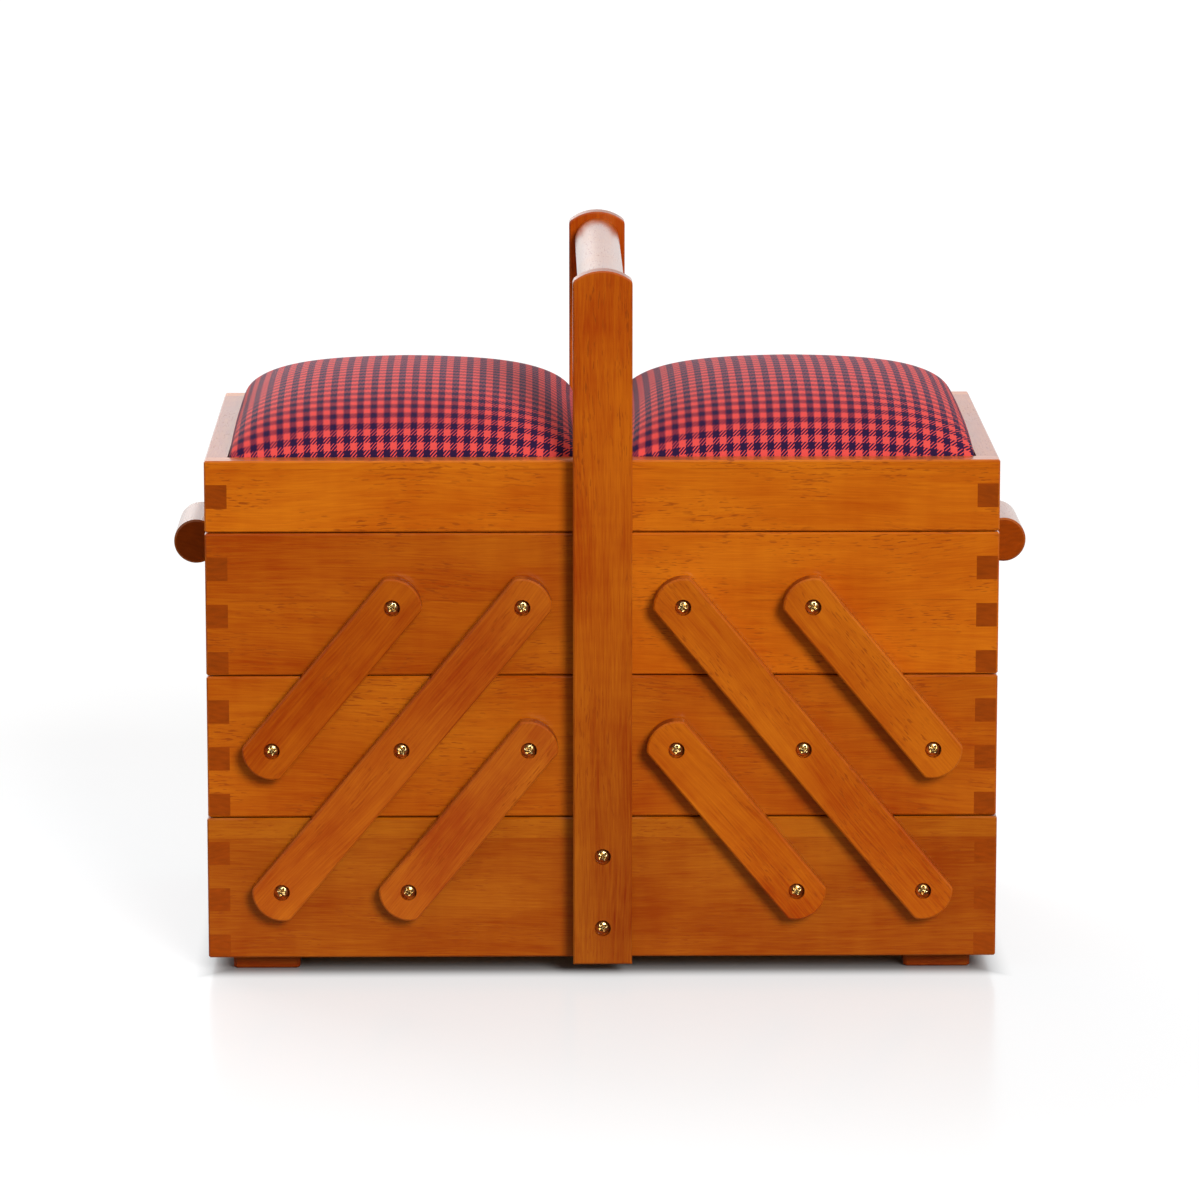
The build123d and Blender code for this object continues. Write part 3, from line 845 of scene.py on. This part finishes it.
def make_floor():
    """White floor that keeps the carrier's soft shadow and a faint mirror image near it.

    Only the camera sees its glow, which is masked away under the base and just outside it, a
    painted shadow. What it throws back on the carrier falls off in front, and in the carrier's
    gloss only its far part behind shows.
    """
    corners = [
        (x * floor_size, y * floor_size, floor_level)
        for x, y in ((-1, -1), (1, -1), (1, 1), (-1, 1))
    ]
    material = bpy.data.materials.new("studio floor")
    material.use_nodes = True
    tree = material.node_tree
    tree.nodes.clear()
    shop = Shop(tree)
    path = shop.node("ShaderNodeLightPath").outputs
    seen = path["Is Camera Ray"]
    place = shop.split(shop.coordinate("Object"))
    outside = [
        shop.math("SUBTRACT", shop.math("ABSOLUTE", place[axis]), half)
        for axis, half in enumerate((base_half_x, base_half_y))
    ]
    away = shop.math("MAXIMUM", *outside)

    near = shop.step(place[1], -0.6, -0.1)
    bounce = shop.either(path["Is Glossy Ray"], near, 0.0)
    bounce = shop.math("MULTIPLY_ADD", bounce, floor_bounce, 0.03)
    tone = shop.either(seen, bounce, floor_tone)
    diffuse = shop.node("ShaderNodeBsdfDiffuse", {"Color": shop.grey(tone)})

    gloss = shop.math("MAXIMUM", path["Is Glossy Ray"], path["Is Transmission Ray"])
    far_behind = shop.math("MULTIPLY", gloss, shop.step(place[1], 0.8, 1.4))
    # Painted shadow: the camera's glow is masked away under the base, fading in over 10 mm outside
    # it.
    outside_painted_shadow = shop.step(away, -12 * MM, 10 * MM)
    glow_with_painted_shadow = shop.math("MULTIPLY", shop.math("MULTIPLY", seen, floor_glow), outside_painted_shadow)
    strength = shop.math("MULTIPLY_ADD", far_behind, floor_in_gloss, glow_with_painted_shadow)
    glow = shop.node("ShaderNodeEmission", {"Color": (1.0, 1.0, 1.0, 1.0), "Strength": strength})
    matt = shop.node("ShaderNodeAddShader", {0: diffuse.outputs[0], 1: glow.outputs[0]})

    mirror = shop.node("ShaderNodeBsdfGlossy", {"Color": (0.92, 0.97, 1.0, 1.0), "Roughness": 0.2})
    polish = shop.math("MULTIPLY", shop.step(away, 420 * MM, 0.0), floor_mirror)
    polish = shop.math("MULTIPLY", seen, polish)
    both = shop.node("ShaderNodeMixShader", {0: polish, 1: matt.outputs[0], 2: mirror.outputs[0]})
    shop.feed(shop.node("ShaderNodeOutputMaterial").inputs["Surface"], both.outputs[0])
    floor = mesh_piece("studio_floor", corners, [(0, 1, 2, 3)], material)


def make_world():
    """White surround for what is seen, with a darker room in front of the carrier for its gloss."""
    world = bpy.data.worlds.new("studio")
    scene.world = world
    world.use_nodes = True
    tree = world.node_tree
    tree.nodes.clear()
    shop = Shop(tree)
    direction = shop.split(shop.coordinate("Generated"))
    upward = shop.math("MAXIMUM", direction[2], 0.0)
    behind = shop.math("ADD", direction[1], shop.math("MULTIPLY", upward, 0.35))
    room = shop.math("MULTIPLY_ADD", shop.step(behind, -0.15, 0.5), 0.99, 0.006)
    path = shop.node("ShaderNodeLightPath").outputs
    gloss = shop.math("MAXIMUM", path["Is Glossy Ray"], path["Is Transmission Ray"])
    strength = shop.either(gloss, world_light, room)
    strength = shop.either(path["Is Camera Ray"], strength, 1.0)
    background = shop.node(
        "ShaderNodeBackground", {"Color": (1.0, 1.0, 1.0, 1.0), "Strength": strength}
    )
    shop.feed(shop.node("ShaderNodeOutputWorld").inputs["Surface"], background.outputs[0])


def make_lamp(name, towards, strength, spread):
    """Sun lamp that shines from the given direction."""
    lamp = bpy.data.lights.new(name, "SUN")
    lamp.energy = strength
    lamp.angle = math.radians(spread)
    holder = bpy.data.objects.new(name, lamp)
    x, y, z = np.array(towards) / np.linalg.norm(towards)
    holder.rotation_euler = (math.acos(z), 0, math.atan2(x, -y))
    scene.collection.objects.link(holder)


def make_camera():
    """Long lens straight ahead of the carrier, looking down on it a little."""
    lens = bpy.data.cameras.new("camera")
    lens.sensor_width = 36.0
    lens.lens = 177.19
    camera = bpy.data.objects.new("camera", lens)
    camera.location = (-38.0 * MM, -3003.7 * MM, 750.4 * MM)
    camera.rotation_euler = (math.radians(90 - 10.927), 0, math.radians(-0.729))
    scene.collection.objects.link(camera)
    scene.camera = camera


make_floor()
make_world()
make_lamp("key_light", (0.35, -0.85, 0.45), 2.5, 20)
make_lamp("back_light", (-0.4, 0.8, 0.45), 1.3, 40)
make_camera()

scene.view_settings.view_transform = "Standard"
